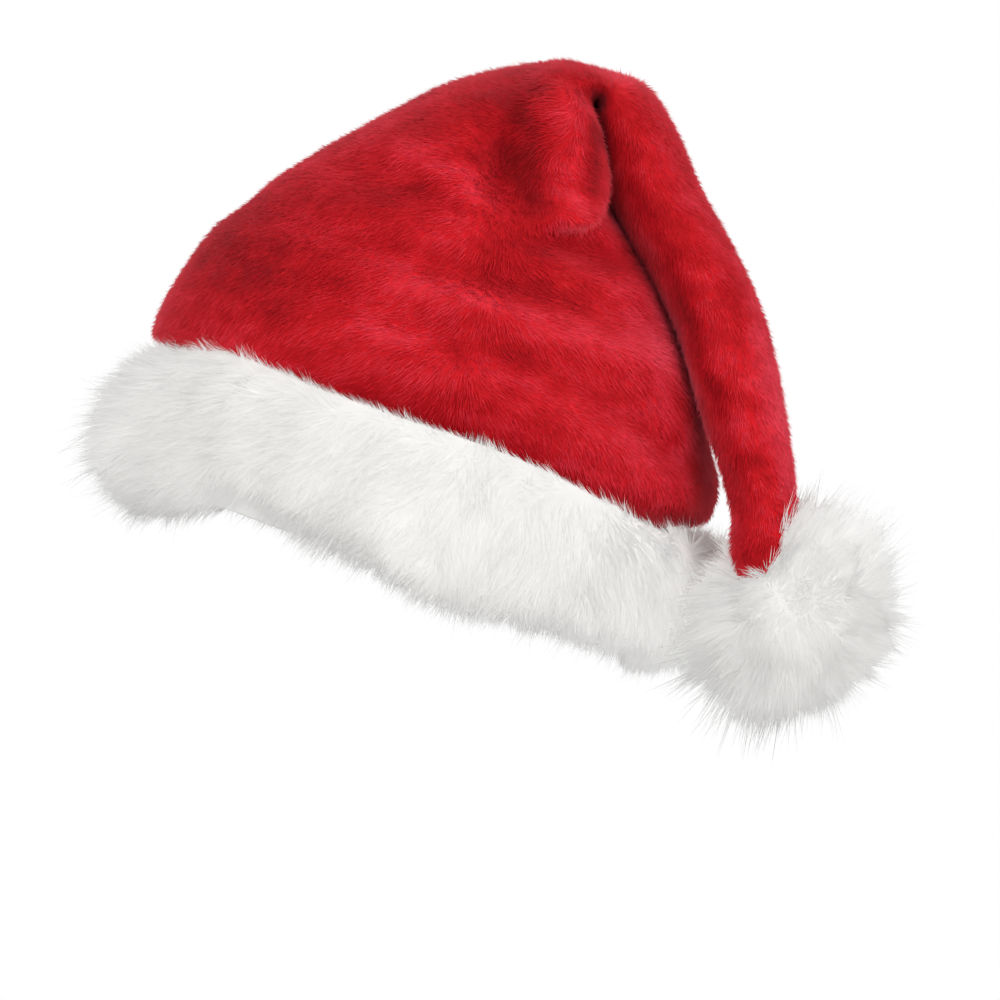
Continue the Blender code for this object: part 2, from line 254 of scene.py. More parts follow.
class Pile:
    """The geometry nodes that grow a pile of closed, pointed strands on a surface.

    The surface's points carry comb, the way that the strands are laid; thick, the share of the full density;
    reach, the share of the full length; and shade, how bright the pile is painted there, which on the crown
    holds painted highlights and painted shade.
    """

    # each one an input of the node group, and in small letters a size of a coat
    SIZES = "Strands Seed Length Spread Width Stand Stray Clump Pull Droop Segments".split()

    def __init__(self) -> None:
        """Builds the node group."""
        self.tree = bpy.data.node_groups.new("pile of strands", "GeometryNodeTree")
        self.sockets: dict[str, str] = {}
        face = self.tree.interface
        face.new_socket("Geometry", in_out="INPUT", socket_type="NodeSocketGeometry")
        face.new_socket("Geometry", in_out="OUTPUT", socket_type="NodeSocketGeometry")
        kinds = {"Seed": "NodeSocketInt", "Segments": "NodeSocketInt", "Material": "NodeSocketMaterial"}
        for name in (*self.SIZES, "Material"):
            kind = kinds.get(name, "NodeSocketFloat")
            self.sockets[name] = face.new_socket(name, in_out="INPUT", socket_type=kind).identifier
        given = add_node(self.tree, "NodeGroupInput").outputs
        self._plant(given)

    def _plant(self, given: bpy.types.NodeOutputs) -> None:
        """Adds the nodes that set the strands' roots and ways.

        Args:
            given: The group's inputs.
        """
        tree = self.tree
        number, vector = {"data_type": "FLOAT"}, {"data_type": "FLOAT_VECTOR"}
        thick = add_node(tree, STORED, number, {"Name": "thick"}).outputs["Attribute"]
        comb = add_node(tree, STORED, vector, {"Name": "comb"}).outputs["Attribute"]
        usual = {0: given["Strands"], 1: thick}
        density = add_node(tree, NUMBERS, {"operation": "MULTIPLY"}, usual).outputs[0]
        on = {"Mesh": given["Geometry"], "Density": density, "Seed": given["Seed"]}
        roots = add_node(tree, "GeometryNodeDistributePointsOnFaces", {"distribute_method": "RANDOM"}, on)
        kept, out = roots.outputs["Points"], roots.outputs["Normal"]
        place = add_node(tree, "GeometryNodeInputPosition").outputs[0]
        fine = add_node(tree, NUMBERS, {"operation": "DIVIDE"}, {0: 1.0, 1: given["Clump"]}).outputs[0]
        clumps = add_node(tree, "ShaderNodeTexNoise", inputs={"Vector": place, "Scale": fine, "Detail": 1.0})
        middle = {0: clumps.outputs["Color"], 1: (0.5, 0.5, 0.5)}
        drift = add_node(tree, VECTORS, {"operation": "SUBTRACT"}, middle).outputs[0]
        pull = add_node(tree, NUMBERS, {"operation": "MULTIPLY"}, {0: given["Pull"], 1: 2.0}).outputs[0]
        either_way = {0: (-1.0, -1.0, -1.0), 1: (1.0, 1.0, 1.0), "Seed": given["Seed"]}
        alone = add_node(tree, "FunctionNodeRandomValue", vector, either_way).outputs[0]
        way = comb
        for aside, share in ((out, given["Stand"]), (alone, given["Stray"]), (drift, pull)):
            added = {0: aside, 1: share, 2: way}
            way = add_node(tree, VECTORS, {"operation": "MULTIPLY_ADD"}, added).outputs[0]
        chance = add_node(tree, "FunctionNodeRandomValue", number, {"Seed": 91}).outputs[1]
        both = {0: chance, 1: clumps.outputs["Fac"]}
        total = add_node(tree, NUMBERS, {"operation": "ADD"}, both).outputs[0]
        tint = add_node(tree, NUMBERS, {"operation": "MULTIPLY"}, {0: total, 1: 0.5}).outputs[0]
        for name, kind, value in (("tint", "FLOAT", tint), ("facing", "FLOAT_VECTOR", out)):
            settings = {"data_type": kind, "domain": "POINT"}
            stored = {"Geometry": kept, "Name": name, "Value": value}
            kept = add_node(tree, "GeometryNodeStoreNamedAttribute", settings, stored).outputs["Geometry"]
        axes = {"primary_axis": "Z", "secondary_axis": "X"}
        turn = add_node(tree, "FunctionNodeAxesToRotation", axes, {0: way, 1: comb})
        self._grow(given, kept, turn.outputs["Rotation"])

    def _grow(
        self, given: bpy.types.NodeOutputs, roots: bpy.types.NodeSocket, turn: bpy.types.NodeSocket
    ) -> None:
        """Adds the nodes that make a strand at each root, make them real and give them the material.

        Args:
            given: The group's inputs.
            roots: The points that the strands grow from.
            turn: Each strand's turn.
        """
        tree = self.tree
        half = add_node(tree, NUMBERS, {"operation": "MULTIPLY"}, {0: given["Width"], 1: 0.5}).outputs[0]
        cone = {
            "Vertices": 3,
            "Side Segments": given["Segments"],
            "Radius Top": 0.0,
            "Radius Bottom": half,
            "Depth": given["Length"],
        }
        strand = add_node(tree, "GeometryNodeMeshCone", {"fill_type": "NGON"}, cone).outputs["Mesh"]
        place = add_node(tree, "GeometryNodeInputPosition").outputs[0]
        bend = add_node(tree, "ShaderNodeSeparateXYZ", inputs={0: place}).outputs["Z"]
        # from the height on the strand to how far it bows over there
        for operation, other in (
            ("DIVIDE", given["Length"]),
            ("POWER", 2.0),
            ("MULTIPLY", given["Length"]),
            ("MULTIPLY", given["Droop"]),
        ):
            bend = add_node(tree, NUMBERS, {"operation": operation}, {0: bend, 1: other}).outputs[0]
        offset = add_node(tree, "ShaderNodeCombineXYZ", inputs={"X": bend}).outputs[0]
        bowed = add_node(tree, "GeometryNodeSetPosition", inputs={"Geometry": strand, "Offset": offset})
        least = add_node(tree, NUMBERS, {"operation": "SUBTRACT"}, {0: 1.0, 1: given["Spread"]}).outputs[0]
        between = {2: least, 3: 1.0, "Seed": given["Seed"]}
        share = add_node(tree, "FunctionNodeRandomValue", {"data_type": "FLOAT"}, between).outputs[1]
        reach = add_node(tree, STORED, {"data_type": "FLOAT"}, {"Name": "reach"}).outputs["Attribute"]
        grown = add_node(
            tree,
            "GeometryNodeInstanceOnPoints",
            inputs={
                "Points": roots,
                "Instance": bowed.outputs["Geometry"],
                "Rotation": turn,
                "Scale": add_node(tree, NUMBERS, {"operation": "MULTIPLY"}, {0: share, 1: reach}).outputs[0],
            },
        )
        planted = {"Geometry": grown.outputs["Instances"]}
        real = add_node(tree, "GeometryNodeRealizeInstances", inputs=planted)
        smooth = add_node(tree, "GeometryNodeSetShadeSmooth", inputs={0: real.outputs["Geometry"]})
        dressed = {"Geometry": smooth.outputs[0], "Material": given["Material"]}
        coated = add_node(tree, "GeometryNodeSetMaterial", inputs=dressed)
        add_node(tree, "NodeGroupOutput", inputs={0: coated.outputs["Geometry"]})

    def grow(self, host: bpy.types.Mesh, coat: Coat, material: bpy.types.Material) -> bpy.types.Object:
        """Grows one coat of strands on a surface and makes it a plain mesh.

        Args:
            host: The surface, whose points carry comb, thick, reach and shade.
            coat: The strands' sizes.
            material: What they are made of.

        Returns:
            The strands as one object at the origin.
        """
        carrier = bpy.data.objects.new(coat.name + "_carrier", host)
        bpy.context.scene.collection.objects.link(carrier)
        grower = carrier.modifiers.new("pile", "NODES")
        grower.node_group = self.tree
        for name in self.SIZES:
            grower[self.sockets[name]] = getattr(coat, name.lower())
        grower[self.sockets["Material"]] = material
        carrier.update_tag()
        bpy.context.view_layer.update()
        grown = bpy.data.meshes.new_from_object(carrier.evaluated_get(bpy.context.evaluated_depsgraph_get()))
        carrier.modifiers.remove(grower)
        bpy.data.objects.remove(carrier)
        grown.name = coat.name
        self._soften(grown, coat.softness)
        piece = bpy.data.objects.new(coat.name, grown)
        bpy.context.scene.collection.objects.link(piece)
        return piece

    def _soften(self, grown: bpy.types.Mesh, softness: float) -> None:
        """Lights the strands partly like the surface below them, as a dense pile scatters light.

        Args:
            grown: The strands.
            softness: The surface's share.
        """
        facing = np.empty(len(grown.vertices) * 3, np.float32)
        own = np.empty(len(grown.vertices) * 3, np.float32)
        grown.attributes["facing"].data.foreach_get("vector", facing)
        grown.vertices.foreach_get("normal", own)
        mixed = (facing * softness + own * (1 - softness)).reshape(-1, 3)
        mixed /= np.maximum(np.linalg.norm(mixed, axis=1, keepdims=True), 1e-6)
        grown.normals_split_custom_set_from_vertices(mixed)
        for name in ("facing", "comb", "thick", "reach"):
            grown.attributes.remove(grown.attributes[name])


def lerp(start: Vector, end: Vector, share: float) -> Vector:
    """Mixes two vectors, from start at share 0 to end at share 1."""
    return start + (end - start) * share


def curve_through(before: Vector, start: Vector, end: Vector, after: Vector, share: float) -> Vector:
    """Follows a smooth curve between two of four points.

    Args:
        before: The point before start.
        start: Where the stretch begins.
        end: Where it ends.
        after: The point after end.
        share: How far along the stretch.

    Returns:
        The point there.
    """
    curve = (end - before) * share
    curve += (before * 2 - start * 5 + end * 4 - after) * share**2
    curve += (start * 3 - before - end * 3 + after) * share**3
    return start + curve / 2


def step_up(low: float, high: float, value: float) -> float:
    """Rises smoothly from 0 where value is low to 1 where it is high, or falls where low is the larger."""
    share = min(1.0, max(0.0, (value - low) / (high - low)))
    return share * share * (3 - 2 * share)


def mesh_of(name: str, points: list[Vector], faces: list[tuple[int, ...]]) -> bpy.types.Mesh:
    """Makes a smooth mesh.

    Args:
        name: The mesh's name.
        points: Its points.
        faces: The places of each face's points in that list.

    Returns:
        The mesh.
    """
    mesh = bpy.data.meshes.new(name)
    mesh.from_pydata([tuple(point) for point in points], [], faces)
    mesh.shade_smooth()
    return mesh


@dataclass
class Lay:
    """How a pile lies on a surface, point by point."""

    comb: list[Vector]
    thick: list[float]
    reach: list[float]
    shade: list[float]

    def gather(self, points: list[Vector], count: int, length: float, pull: float, seed: int) -> None:
        """Turns the comb so that the strands meet in tufts.

        Args:
            points: The surface's points.
            count: How many tufts there are.
            length: How far a tuft's tip is from its root, in metres.
            pull: How far the strands lean to their tuft's tip, from 0 to 1.
            seed: The seed of where the tufts are.
        """
        middles = random.Random(seed).sample(range(len(points)), count)
        tufts = kdtree.KDTree(count)
        for place, middle in enumerate(middles):
            tufts.insert(points[middle], place)
        tufts.balance()
        tips = [points[middle] + self.comb[middle] * length * self.reach[middle] for middle in middles]
        gathered = []
        for point, way in zip(points, self.comb):
            nearest = tufts.find(point)[1]
            gathered.append(lerp(way, (tips[nearest] - point).normalized(), pull).normalized())
        self.comb = gathered

    def store(self, mesh: bpy.types.Mesh) -> None:
        """Stores it on a mesh's points.

        Args:
            mesh: The surface.
        """
        flat = np.array([tuple(way) for way in self.comb], np.float32).ravel()
        mesh.attributes.new("comb", "FLOAT_VECTOR", "POINT").data.foreach_set("vector", flat)
        for name, values in (("thick", self.thick), ("reach", self.reach), ("shade", self.shade)):
            flat = np.array(values, np.float32)
            mesh.attributes.new(name, "FLOAT", "POINT").data.foreach_set("value", flat)


def shown(name: str, mesh: bpy.types.Mesh, material: bpy.types.Material) -> bpy.types.Object:
    """Puts a mesh in the scene with a material.

    Args:
        name: The piece's name.
        mesh: Its mesh.
        material: What it is made of.

    Returns:
        The object, at the origin.
    """
    mesh.materials.append(material)
    piece = bpy.data.objects.new(name, mesh)
    bpy.context.scene.collection.objects.link(piece)
    return piece


def attach(piece: bpy.types.Object, slot: Slot, *nodes: str) -> None:
    """Hands a piece to the frame and reports it.

    Args:
        piece: The finished piece.
        slot: The record's material slot that it shows; not used.
        nodes: The CAD nodes that it stands for.
    """
    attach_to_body(piece, "root")
    if nodes:
        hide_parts(*nodes)
    triangles = sum(len(polygon.vertices) - 2 for polygon in piece.data.polygons)
    area = sum(polygon.area for polygon in piece.data.polygons)
    stands_for = ", ".join(nodes) or "no solid"
    LOG.info("%s: %d triangles, %.4f square metres, for %s", piece.name, triangles, area, stands_for)


def grow_fur(
    node: str, mass: bpy.types.Mesh, coats: tuple[Coat, ...], pile: Pile, material: bpy.types.Material
) -> bpy.types.Object:
    """Grows white fur on its mass and lets light through both, so that they look as even as such fur does.

    Args:
        node: The CAD node that the mass stands for.
        mass: The fur's mass, which casts no shadow.
        coats: The coats of strands, which cast none and take no light from each other.
        pile: What grows strands.
        material: The fur.

    Returns:
        The mass in the scene.
    """
    strands = [pile.grow(mass, coat, material) for coat in coats]
    body = shown(mass.name, mass, material)
    body.visible_shadow = False
    attach(body, Slot.WHITE_FUR, node)
    for coat in strands:
        coat.visible_shadow = False
        coat.visible_diffuse = False
        attach(coat, Slot.WHITE_FUR)
    return body


@dataclass(frozen=True)
class CapSizes:
    """The sizes that the cap's pieces share, in metres, as the solids have them."""

    head_width: float = 180 * MM
    head_length: float = 192 * MM
    cloth: float = 3 * MM
    seat_gap: float = 0.4 * MM
    brim_height: float = 67 * MM
    brim_fur: float = 33 * MM
    hem_up: float = 0.18
    crown_half_width: float = 123 * MM
    crown_half_depth: float = 120 * MM
    crown_rise: float = 154 * MM
    tail_width: float = 32 * MM
    tail_half_depth: float = 46 * MM
    tail_forward: float = 62 * MM
    tail_entry: tuple[float, float, float] = (-0.80, -0.36, 0.50)
    ball_core: float = 29 * MM
    ball_reach: float = 42 * MM
    ball_around: float = math.radians(22)
    ball_height: float = 42.5 * MM
    ball_clear: float = 2 * MM

    def crown_point(self, x_share: float, z_share: float) -> Vector:
        """Finds a point of the plane Y = 0, in shares of the crown's half width and of its rise."""
        return Vector((x_share * self.crown_half_width, 0, self.brim_height + z_share * self.crown_rise))

    def ball_centre(self) -> Vector:
        """Finds the middle of the fur ball, which hangs clear of the brim.

        Returns:
            The point.
        """
        across = max(self.head_width / 2 + self.cloth + self.brim_fur, self.crown_half_width)
        along = max(self.head_length / 2 + self.cloth + self.brim_fur, self.crown_half_depth)
        turn = self.ball_around
        touch = Vector((across * math.cos(turn), -along * math.sin(turn), self.ball_height))
        out = Vector((math.cos(turn) / across, -math.sin(turn) / along, 0)).normalized()
        return touch + out * (self.ball_reach + self.ball_clear)


@dataclass
class Crown:
    """The red plush cone with its tail: the cloth, and the nap on its outside."""

    sizes: CapSizes
    sides: int = 132
    row_step: float = 3.6 * MM
    nap_depth: float = 1.6 * MM

    # outer x, outer z, inner x, inner z, depth: an oval section across the cone, in the crown's shares
    SECTIONS = (
        (-0.923, -0.048, 0.849, -0.025, 0.85),
        (-1.006, -0.034, 0.892, 0.005, 0.88),
        (-1.015, 0.002, 0.903, 0.044, 0.91),
        (-1.011, 0.070, 0.890, 0.103, 0.94),
        (-0.984, 0.173, 0.826, 0.184, 0.94),
        (-0.940, 0.286, 0.757, 0.285, 0.91),
        (-0.872, 0.368, 0.662, 0.385, 0.85),
        (-0.774, 0.498, 0.528, 0.512, 0.76),
        (-0.642, 0.625, 0.387, 0.609, 0.67),
        (-0.494, 0.757, 0.230, 0.703, 0.59),
        (-0.381, 0.850, 0.148, 0.775, 0.53),
        (-0.229, 0.936, 0.102, 0.847, 0.48),
        (-0.067, 0.997, 0.087, 0.903, 0.44),
    )
    # inner x, inner z, lean in degrees, width, depth, forward: a section of the tail
    TAIL = (
        (0.095, 0.916, 87, 0.50, 0.96, 0.05),
        (0.090, 0.862, 55, 0.90, 0.90, 0.11),
        (0.139, 0.788, 38, 1.12, 0.85, 0.19),
        (0.243, 0.688, 28, 1.19, 0.79, 0.27),
        (0.382, 0.588, 27, 1.21, 0.74, 0.35),
        (0.522, 0.488, 26, 1.18, 0.69, 0.43),
        (0.645, 0.376, 25, 1.12, 0.64, 0.52),
        (0.748, 0.260, 22, 1.07, 0.59, 0.62),
        (0.852, 0.150, 18, 0.98, 0.54, 0.74),
        (0.945, 0.040, 15, 0.88, 0.48, 0.88),
    )
    # along, width, depth: the tail's free end, on its way to the ball
    TAIL_END = ((0.45, 0.86, 0.42), (0.80, 0.72, 0.34), (1.00, 0.56, 0.24))
    # side, x, z, half length, half width, slope in degrees, height in cloths: a fold or a dent
    FOLDS = (
        (-1, 0.055, 0.750, 0.190, 0.062, -70, 3.4),
        (-1, 0.160, 0.552, 0.110, 0.030, 8, -3.2),
        (-1, -0.105, 0.700, 0.220, 0.080, -66, -5.8),
        (-1, 0.200, 0.530, 0.150, 0.050, 12, -3.0),
        (-1, -0.130, 0.570, 0.300, 0.060, -16, 2.2),
        (-1, -0.420, 0.560, 0.240, 0.060, 6, -1.8),
        (-1, 0.060, 0.410, 0.420, 0.055, 4, -2.2),
        (-1, 0.200, 0.335, 0.420, 0.060, 4, 1.8),
        (-1, -0.050, 0.240, 0.450, 0.055, -2, -1.6),
        (-1, 0.760, 0.130, 0.160, 0.050, -16, -2.4),
        (-1, 0.000, 0.120, 0.700, 0.070, 0, 1.4),
        (1, 0.100, 0.720, 0.200, 0.070, -72, 4.2),
        (1, -0.080, 0.690, 0.200, 0.085, -66, -3.8),
        (1, -0.050, 0.480, 0.450, 0.070, -8, -1.8),
        (1, 0.050, 0.300, 0.500, 0.075, 6, 1.5),
        (1, 0.400, 0.200, 0.300, 0.060, -10, -1.8),
    )
    # side, x, z, x, z, half width, edge, height in cloths: a fold with a flat top and steep sides
    LOBES = ((-1, 0.010, 0.880, 0.115, 0.645, 0.056, 0.022, 3.2),)
    # side, x, z, half length, half width, slope in degrees, shade: a patch of painted highlight or painted
    # shade, such as the painted shade in the crevice and beside the tail's edge and the painted highlight on
    # the tail's rim
    PAINTED_LIGHT = (
        (-1, 0.506, 0.423, 0.160, 0.100, -20, 0.26),
        (-1, -0.077, 0.336, 0.200, 0.050, -5, 0.12),
        (-1, -0.137, 0.595, 0.210, 0.040, -14, 0.26),
        (-1, 0.231, 0.343, 0.150, 0.050, 5, 0.18),
        (-1, 0.080, 0.409, 0.300, 0.030, 12, -0.04),
        (-1, -0.438, 0.521, 0.200, 0.030, 25, -0.24),
        (-1, -0.258, 0.200, 0.160, 0.100, 10, 0.16),
        (-1, 0.548, 0.103, 0.160, 0.100, 10, 0.20),
        (-1, -0.850, 0.250, 0.150, 0.200, 60, -0.32),
        (-1, -0.350, 0.800, 0.200, 0.060, 35, -0.16),
        (-1, 0.110, 0.700, 0.120, 0.050, -65, 0.04),
        (-1, -0.036, 0.930, 0.150, 0.060, 20, -0.20),
        (-1, -0.050, 0.690, 0.160, 0.060, -66, -0.32),
        (-1, 0.146, 0.800, 0.130, 0.020, -75, -0.50),
        (-1, 1.000, 0.318, 0.300, 0.045, -58, 0.34),
        (1, 1.000, 0.318, 0.300, 0.045, -58, 0.34),
        (1, -0.850, 0.250, 0.150, 0.200, 60, -0.32),
        (-1, 0.640, 0.434, 0.330, 0.024, -50, -0.35),
        (1, -0.350, 0.800, 0.200, 0.060, 35, -0.16),
    )
    COATS = (
        Coat(
            "crown_nap_one", strands=0.30 / MM**2, length=5 * MM, spread=0.4, width=0.65 * MM,
            stand=0.45, stray=0.14, clump=2.2 * MM, pull=0.45, softness=0.8, seed=3
        ),
        Coat(
            "crown_nap_two", strands=0.30 / MM**2, length=4.6 * MM, spread=0.5, width=0.55 * MM,
            stand=0.6, stray=0.2, clump=2.2 * MM, pull=0.5, softness=0.8, seed=8
        ),
        Coat(
            "crown_nap_three", strands=0.30 / MM**2, length=4.6 * MM, spread=0.5, width=0.5 * MM,
            stand=0.7, stray=0.25, clump=2.2 * MM, pull=0.5, softness=0.8, seed=15
        ),
    )

    def band(self) -> list[Row]:
        """Lists the sections of the straight stretch inside the brim.

        Returns:
            The sections from the hem up.
        """
        size = self.sizes
        wide = size.head_width / 2 + size.cloth
        deep = size.head_length / 2 + size.cloth
        rows = []
        for up, spread in ((size.hem_up, 0.0), (0.50, 0.0), (0.80, 0.0), (0.86, 0.5 * size.cloth)):
            outer = Vector((-wide - spread, 0, up * size.brim_height))
            inner = Vector((wide + spread, 0, up * size.brim_height))
            rows.append((outer, inner, Vector((0, deep + spread, 0))))
        return rows

    def cone(self) -> list[Row]:
        """Lists the sections from the top of the brim over the fold to the ball.

        Returns:
            The sections that the tables give.
        """
        size = self.sizes
        rows = [
            (size.crown_point(a, b), size.crown_point(c, d), Vector((0, depth * size.crown_half_depth, 0)))
            for a, b, c, d, depth in self.SECTIONS
        ]
        for inner_x, inner_z, lean, width, depth, forward in self.TAIL:
            way = Vector((math.cos(math.radians(lean)), 0, math.sin(math.radians(lean))))
            inner = size.crown_point(inner_x, inner_z) - Vector((0, forward * size.tail_forward, 0))
            half_depth = Vector((0, depth * size.tail_half_depth, 0))
            rows.append((inner + way * width * size.tail_width, inner, half_depth))
        outer, inner, last_depth = rows[-1]
        start, across = (outer + inner) / 2, (outer - inner).normalized()
        into_ball = -Vector(size.tail_entry).normalized()
        end = size.ball_centre() - into_ball * (size.ball_core + size.seat_gap)
        square = (across - into_ball * across.dot(into_ball)).normalized()
        for along, width, depth in self.TAIL_END:
            middle = lerp(start, end, along)
            half = lerp(across, square, along).normalized() * width * size.tail_width / 2
            turned = lerp(last_depth.normalized(), square.cross(into_ball), along).normalized()
            rows.append((middle + half, middle - half, turned * depth * size.tail_half_depth))
        return rows

    def smoothed(self, rows: list[Row]) -> list[Row]:
        """Adds sections on smooth curves between the given ones.

        Args:
            rows: The given sections.

        Returns:
            Sections that are at most about a row step apart.
        """
        made = []
        for place in range(len(rows) - 1):
            near = [rows[min(max(place + shift, 0), len(rows) - 1)] for shift in (-1, 0, 1, 2)]
            gap = max((near[2][end] - near[1][end]).length for end in (0, 1))
            steps = max(1, round(gap / self.row_step))
            for step in range(steps):
                share = step / steps
                made.append(tuple(curve_through(*(row[part] for row in near), share) for part in range(3)))
        return [*made, rows[-1]]

    def near_oval(
        self, point: Vector, x_share: float, z_share: float, length: float, width: float, slope: float
    ) -> float:
        """Finds how near a point is to the middle of a slanting oval on the cloth.

        Args:
            point: The point.
            x_share: The oval's middle, in shares of the crown's half width.
            z_share: Its height, in shares of the crown's rise.
            length: Half its length, in the same shares.
            width: Half its width, in the same shares.
            slope: How far it slants, in degrees.

        Returns:
            1 in the middle, falling off smoothly to 0.
        """
        away = point - self.sizes.crown_point(x_share, z_share)
        slant = math.radians(slope)
        rise = self.sizes.crown_rise
        along = (away.x * math.cos(slant) + away.z * math.sin(slant)) / (length * rise)
        across = (away.z * math.cos(slant) - away.x * math.sin(slant)) / (width * rise)
        return math.exp(-along * along - across * across)

    def fold_height(self, point: Vector, side: float) -> float:
        """Adds up how far the folds push the cloth out.

        Args:
            point: A point of the cloth.
            side: -1 at the front and 1 at the back.

        Returns:
            The height in metres.
        """
        size, height = self.sizes, 0.0
        for fold_side, *oval, rise in self.FOLDS:
            if fold_side == side:
                height += rise * size.cloth * self.near_oval(point, *oval)
        for lobe_side, x_from, z_from, x_to, z_to, width, edge, rise in self.LOBES:
            if lobe_side == side:
                start, end = size.crown_point(x_from, z_from), size.crown_point(x_to, z_to)
                flat = Vector((point.x, 0, point.z))
                share = min(1.0, max(0.0, (flat - start).dot(end - start) / (end - start).length_squared))
                away = (flat - lerp(start, end, share)).length / size.crown_rise
                height += rise * size.cloth * step_up(width + edge, width - edge, away)
        return height

    def ring(self, row: Row, folded: bool) -> list[Vector]:
        """Places the points round one section, from its inner end by the back.

        Args:
            row: The section.
            folded: Whether the folds push it out.

        Returns:
            The ring's points.
        """
        outer, inner, depth = row
        middle, reach = (outer + inner) / 2, (inner - outer) / 2
        points = []
        for side in range(self.sides):
            turn = 2 * math.pi * side / self.sides
            point = middle + reach * math.cos(turn) + depth * math.sin(turn)
            if folded and abs(math.sin(turn)) > 1e-6:
                out = reach.normalized() * math.cos(turn) * depth.length
                out = out + depth.normalized() * math.sin(turn) * reach.length
                fade = min(1.0, 1.6 * abs(math.sin(turn)))
                point += out.normalized() * self.fold_height(point, math.copysign(1, math.sin(turn))) * fade
            points.append(point)
        return points

    def comb_at(self, point: Vector, down: Vector, round_it: Vector, on_tail: float) -> Vector:
        """Finds the way that the nap lies at a point: down the cone, and aside from its middle.

        Args:
            point: The point.
            down: The way along the cloth to the hem.
            round_it: The way along the section to +X.
            on_tail: 0 on the crown and 1 on the tail, whose nap runs to its end.

        Returns:
            The way.
        """
        aside = 1.1 if point.x < 0 else 1.8
        swirl = aside * math.tanh(point.x / 0.02) * math.exp(-((point.x / 0.085) ** 2)) * (1 - on_tail)
        swirl += 0.35 * noise.noise(point / 0.05)
        return (down * (1 - 2 * on_tail) + round_it * swirl).normalized()

    def shade_at(self, point: Vector, side: float, fold: float) -> float:
        """Finds how bright the nap is painted at a point: a tone that varies at random, painted highlight on
        the ridges and painted shade in the dips, and the listed patches of painted highlight and painted
        shade.

        Args:
            point: The point.
            side: -1 at the front and 1 at the back.
            fold: The height of the folds there, in metres.

        Returns:
            The shade, about 0.5 on the whole.
        """
        painted = 0.0
        # add up the listed patches of painted highlight and painted shade
        for patch_side, *oval, shade in self.PAINTED_LIGHT:
            if patch_side == side:
                painted += shade * self.near_oval(point, *oval)
        wide = noise.noise(Vector((point.x / 0.050, point.y / 0.050, point.z / 0.014)))
        small = noise.noise(Vector((point.x / 0.014, point.y / 0.014, point.z / 0.007)) + Vector((7, 3, 1)))
        # painted highlight on the folds' ridges and painted shade in their dents
        fold_light = max(-1.0, min(1.0, fold / (2.5 * self.sizes.cloth)))
        return 0.53 + 0.16 * wide + 0.24 * small + 0.12 * fold_light + painted

    def surface(self) -> bpy.types.Mesh:
        """Lofts the cloth's outside and stores how its nap lies.

        Returns:
            The open sheet, pressed in by the depth of the nap.
        """
        band = [self.ring(row, False) for row in self.band()]
        cone = self.smoothed(self.cone())
        rings = band + [self.ring(row, True) for row in cone]
        outer, inner, _ = self.cone()[len(self.SECTIONS)]
        gaps = [((row[0] + row[1]) / 2 - (outer + inner) / 2).length for row in cone]
        tail_row = len(band) + gaps.index(min(gaps))
        rings = [[WORN_LEAN @ point for point in ring] for ring in rings]
        count = self.sides
        faces = []
        for row in range(len(rings) - 1):
            for side in range(count):
                after = (side + 1) % count
                low, high = row * count, (row + 1) * count
                faces.append((low + side, low + after, high + after, high + side))
        faces.append(tuple((len(rings) - 1) * count + side for side in range(count)))
        mesh = mesh_of("crown_cloth", [point for ring in rings for point in ring], faces)
        lay = Lay([], [], [], [])
        upright = WORN_LEAN.inverted()
        for row, ring in enumerate(rings):
            above, below = rings[min(row + 1, len(rings) - 1)], rings[max(row - 1, 0)]
            on_tail = step_up(tail_row - 2, tail_row + 6, row)
            for side, point in enumerate(ring):
                down = (below[side] - above[side]).normalized()
                round_it = (ring[(side + 1) % count] - ring[side - 1]).normalized()
                round_it = round_it if round_it.x > 0 else -round_it
                local = upright @ point
                half = math.copysign(1, math.sin(2 * math.pi * side / count))
                fold = self.fold_height(local, half)
                lay.comb.append(self.comb_at(local, down, round_it, on_tail))
                lay.thick.append(0.0 if row <= len(band) else 1.0)
                lay.reach.append(1.0 - 0.25 * noise.noise(local / 0.012))
                lay.shade.append(self.shade_at(local, half, fold))
        lay.store(mesh)
        places = np.empty(len(mesh.vertices) * 3, np.float32)
        normals = np.empty(len(mesh.vertices) * 3, np.float32)
        mesh.vertices.foreach_get("co", places)
        mesh.vertices.foreach_get("normal", normals)
        mesh.vertices.foreach_set("co", places - normals * self.nap_depth)
        mesh.update()
        return mesh

    def build(self, pile: Pile, material: bpy.types.Material) -> None:
        """Builds the cloth and its nap.

        Args:
            pile: What grows strands.
            material: The plush.
        """
        surface = self.surface()
        coats = [pile.grow(surface, coat, material) for coat in self.COATS]
        cloth = shown("crown_cloth", surface, material)
        attach(cloth, Slot.RED_PLUSH, "crown")
        wall = cloth.modifiers.new("cloth thickness", "SOLIDIFY")
        wall.thickness = self.sizes.cloth - self.nap_depth
        wall.offset = -1
        for coat in coats:
            attach(coat, Slot.RED_PLUSH)


